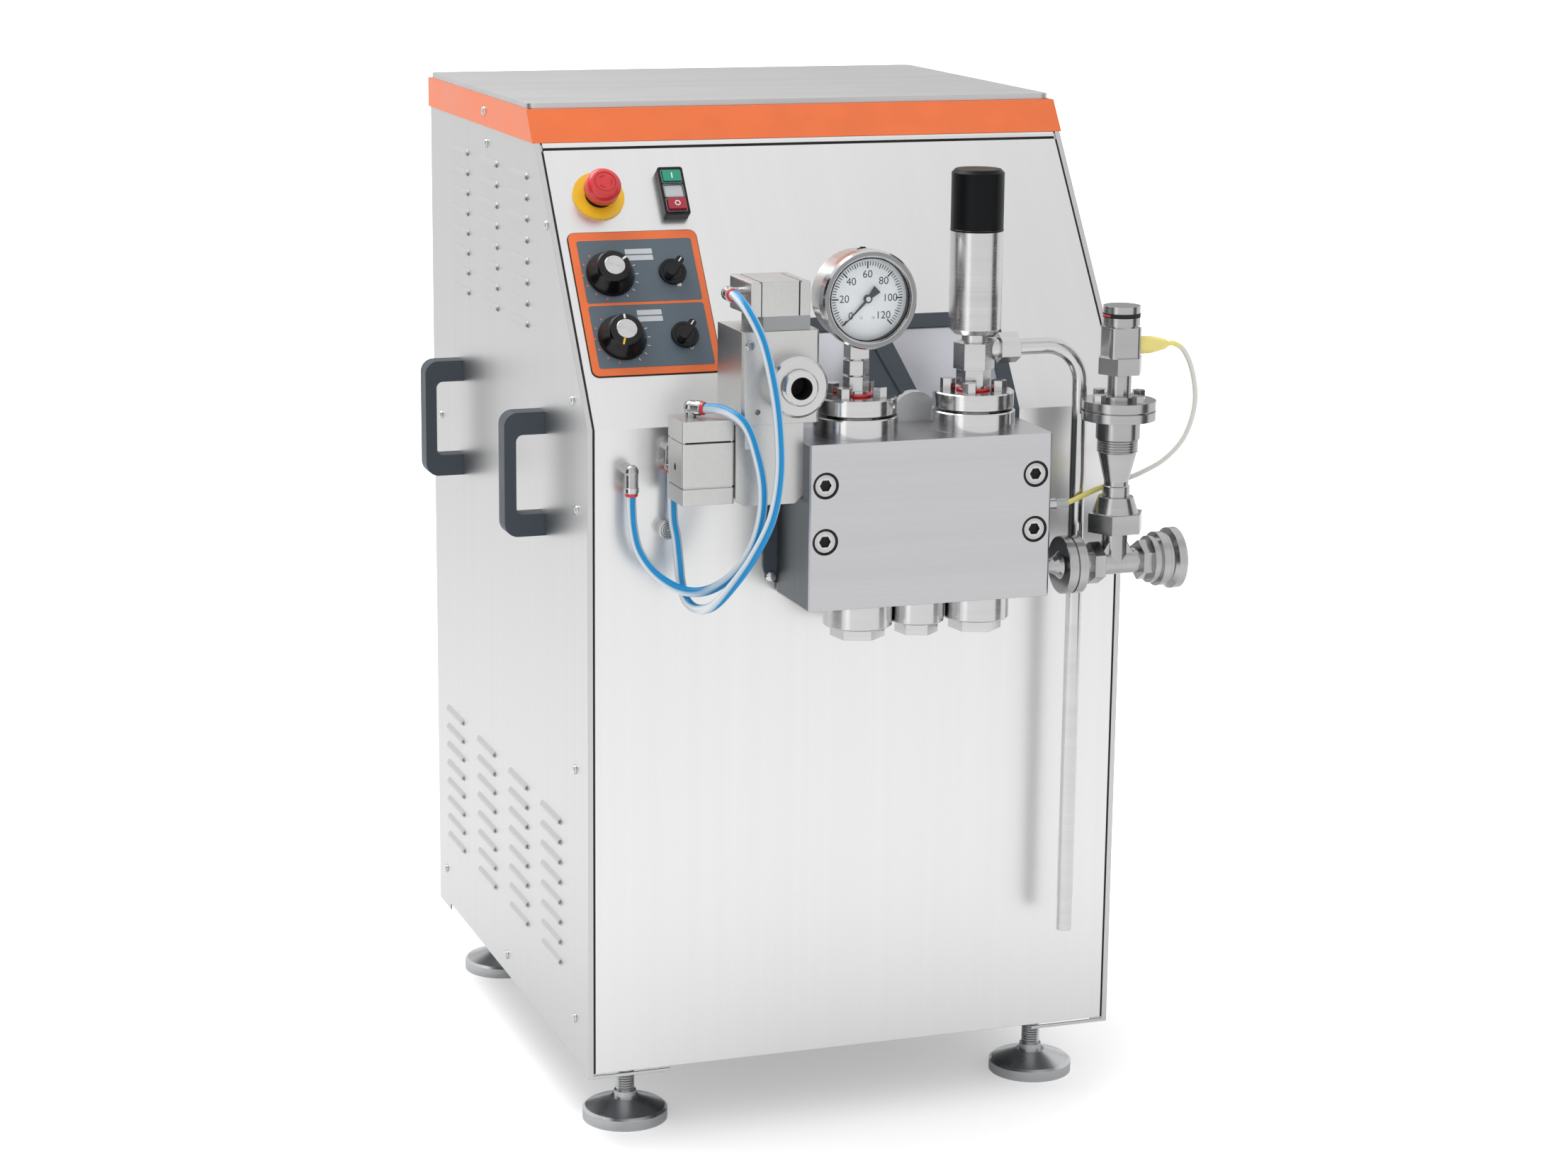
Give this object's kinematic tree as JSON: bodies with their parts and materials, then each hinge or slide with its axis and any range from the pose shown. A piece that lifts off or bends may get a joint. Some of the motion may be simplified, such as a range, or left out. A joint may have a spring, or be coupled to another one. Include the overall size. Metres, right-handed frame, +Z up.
{
  "type": "dairy homogenizer",
  "caption": "Floor-standing plunger homogenizer: louvred stainless cabinet with a sloped control panel, pump head, relief valve, gauge and inlet line on levelling feet.",
  "frame": {"origin": "on the floor under the middle of the machine's box", "axes": "+Z up, the front faces -Y, +X to the right seen from the front"},
  "size_m": [0.746, 0.85, 1.173],
  "materials": {
    "panel_steel": "satin brushed stainless sheet",
    "polished_steel": "polished stainless",
    "turned_steel": "fine turned stainless",
    "orange_paint": "satin paint",
    "slate_paint": "satin powder coat",
    "frame_paint": "satin paint",
    "guard_paint": "satin paint",
    "motor_paint": "satin paint",
    "cast_metal": "machined casting",
    "silver_metal": "anodised",
    "black_plastic": "matte",
    "foot_steel": "satin cast",
    "red_plastic": "gloss",
    "yellow_plastic": "satin",
    "green_plastic": "gloss",
    "stop_plastic": "gloss",
    "lens_plastic": "clear",
    "clear_glass": "clear",
    "belt_rubber": "matte",
    "tube_plastic": "translucent",
    "cable_plastic": "matte"
  },
  "bodies": {
    "cabinet": {"base_frame": "frame_paint", "left_side_panel": "panel_steel", "right_side_panel": "panel_steel", "front_panel": "panel_steel", "back_panel": "panel_steel", "top_cover": "panel_steel", "colour_band": "orange_paint", "panel_screws": "polished_steel", "side_handles": "slate_paint", "estop_plate": "yellow_plastic", "switch_housing": "black_plastic", "pilot_lens": "lens_plastic", "control_plate": "orange_paint", "pump_block": "turned_steel", "head_screws": "polished_steel", "valve_covers": "polished_steel", "suction_plugs": "polished_steel", "gauge_body": "turned_steel", "gauge_bezel": "polished_steel", "gauge_glass": "clear_glass", "relief_body": "polished_steel", "drain_tube": "polished_steel", "valve_body": "silver_metal", "outlet_union": "polished_steel", "lower_valve_block": "silver_metal", "upper_air_cylinder": "silver_metal", "lower_air_cylinder": "silver_metal", "air_fittings": "polished_steel", "window_trim": "slate_paint", "splash_guard": "guard_paint", "inlet_tee": "polished_steel", "inlet_union": "polished_steel", "sensor_flanges": "polished_steel", "flow_sensor": "polished_steel", "crankcase": "cast_metal", "drive_motor": "motor_paint", "drive_belt": "belt_rubber", "air_tube_1": "tube_plastic", "air_tube_2": "tube_plastic", "sensor_cable": "cable_plastic"},
    "estop_plunger": {"estop_stem": "black_plastic"},
    "estop_cap": {"estop_head": "red_plastic"},
    "start_key": {"start_button": "green_plastic"},
    "stop_key": {"stop_button": "stop_plastic"},
    "upper_dial": {"upper_knob": "black_plastic"},
    "lower_dial": {"lower_knob": "black_plastic"},
    "upper_grip": {"upper_selector": "black_plastic"},
    "lower_grip": {"lower_selector": "black_plastic"},
    "pointer": {"gauge_pointer": "black_plastic"},
    "relief_screw": {"relief_cap": "black_plastic"},
    "vent_screw": {"vent_knob": "turned_steel"},
    "front_left_support": {"foot_front_left": "foot_steel"},
    "front_right_support": {"foot_front_right": "foot_steel"},
    "rear_left_support": {"foot_rear_left": "foot_steel"},
    "rear_right_support": {"foot_rear_right": "foot_steel"},
    "left_piston": {"left_plunger": "polished_steel"},
    "middle_piston": {"middle_plunger": "polished_steel"},
    "right_piston": {"right_plunger": "polished_steel"},
    "crank_shaft": {"crank_pulley": "cast_metal"},
    "motor_shaft": {"motor_pulley": "cast_metal"}
  },
  "joints": [
    {"name": "estop_push", "type": "slide", "parent": "cabinet", "child": "estop_plunger", "axis": [0, 0.8111, -0.5849], "range_m": [0, 0.005]},
    {"name": "estop_twist", "type": "hinge", "parent": "estop_plunger", "child": "estop_cap", "pos_m": [-0.262, -0.11697, 1.07285], "axis": [0, 0.8111, -0.5849], "range_deg": [0, 45], "stiffness_Nm_per_rad": 0.05, "springref_deg": -17.19},
    {"name": "start_press", "type": "slide", "parent": "cabinet", "child": "start_key", "axis": [0, 0.8111, -0.5849], "range_m": [0, 0.003], "stiffness_N_per_m": 300, "springref_m": -0.003},
    {"name": "stop_press", "type": "slide", "parent": "cabinet", "child": "stop_key", "axis": [0, 0.8111, -0.5849], "range_m": [0, 0.003], "stiffness_N_per_m": 300, "springref_m": -0.003},
    {"name": "upper_knob_turn", "type": "hinge", "parent": "cabinet", "child": "upper_dial", "pos_m": [-0.266, -0.17604, 0.99092], "axis": [0, 0.8111, -0.5849], "range_deg": [-195, 105]},
    {"name": "lower_knob_turn", "type": "hinge", "parent": "cabinet", "child": "lower_dial", "pos_m": [-0.266, -0.22283, 0.92604], "axis": [0, 0.8111, -0.5849], "range_deg": [-150, 150]},
    {"name": "upper_selector_turn", "type": "hinge", "parent": "cabinet", "child": "upper_grip", "pos_m": [-0.193, -0.17604, 0.99092], "axis": [0, 0.8111, -0.5849], "range_deg": [-80, 0]},
    {"name": "lower_selector_turn", "type": "hinge", "parent": "cabinet", "child": "lower_grip", "pos_m": [-0.193, -0.22283, 0.92604], "axis": [0, 0.8111, -0.5849], "range_deg": [-80, 0]},
    {"name": "pointer_sweep", "type": "hinge", "parent": "cabinet", "child": "pointer", "pos_m": [-0.0305, -0.34075, 0.983], "axis": [0, 1, 0], "range_deg": [0, 270], "stiffness_Nm_per_rad": 0.002, "springref_deg": -22.92},
    {"name": "relief_turn", "type": "hinge", "parent": "cabinet", "child": "relief_screw", "pos_m": [0.1105, -0.34075, 1.06], "axis": [0, 0, 1], "range_deg": [-360, 360]},
    {"name": "vent_turn", "type": "hinge", "parent": "cabinet", "child": "vent_screw", "pos_m": [-0.236, -0.28775, 0.722], "axis": [0, -1, 0], "range_deg": [0, 360]},
    {"name": "front_left_foot_turn", "type": "hinge", "parent": "cabinet", "child": "front_left_support", "pos_m": [-0.259, -0.21275, 0.06], "axis": [0, 0, 1], "range_deg": [-720, 720]},
    {"name": "front_right_foot_turn", "type": "hinge", "parent": "cabinet", "child": "front_right_support", "pos_m": [0.259, -0.21275, 0.06], "axis": [0, 0, 1], "range_deg": [-720, 720]},
    {"name": "rear_left_foot_turn", "type": "hinge", "parent": "cabinet", "child": "rear_left_support", "pos_m": [-0.259, 0.34725, 0.06], "axis": [0, 0, 1], "range_deg": [-720, 720]},
    {"name": "rear_right_foot_turn", "type": "hinge", "parent": "cabinet", "child": "rear_right_support", "pos_m": [0.259, 0.34725, 0.06], "axis": [0, 0, 1], "range_deg": [-720, 720]},
    {"name": "left_plunger_stroke", "type": "slide", "parent": "cabinet", "child": "left_piston", "axis": [0, 1, 0], "range_m": [-0.02, 0.02]},
    {"name": "middle_plunger_stroke", "type": "slide", "parent": "cabinet", "child": "middle_piston", "axis": [0, 1, 0], "range_m": [-0.02, 0.02]},
    {"name": "right_plunger_stroke", "type": "slide", "parent": "cabinet", "child": "right_piston", "axis": [0, 1, 0], "range_m": [-0.02, 0.02]},
    {"name": "crank_turn", "type": "hinge", "parent": "cabinet", "child": "crank_shaft", "pos_m": [0.262, 0.01225, 0.72], "axis": [1, 0, 0], "continuous": true},
    {"name": "motor_turn", "type": "hinge", "parent": "cabinet", "child": "motor_shaft", "pos_m": [0.262, 0.05225, 0.3], "axis": [1, 0, 0], "continuous": true}
  ],
  "couplings": [
    {"joint": "motor_turn", "follows": "crank_turn", "ratio": 2.4286}
  ]
}
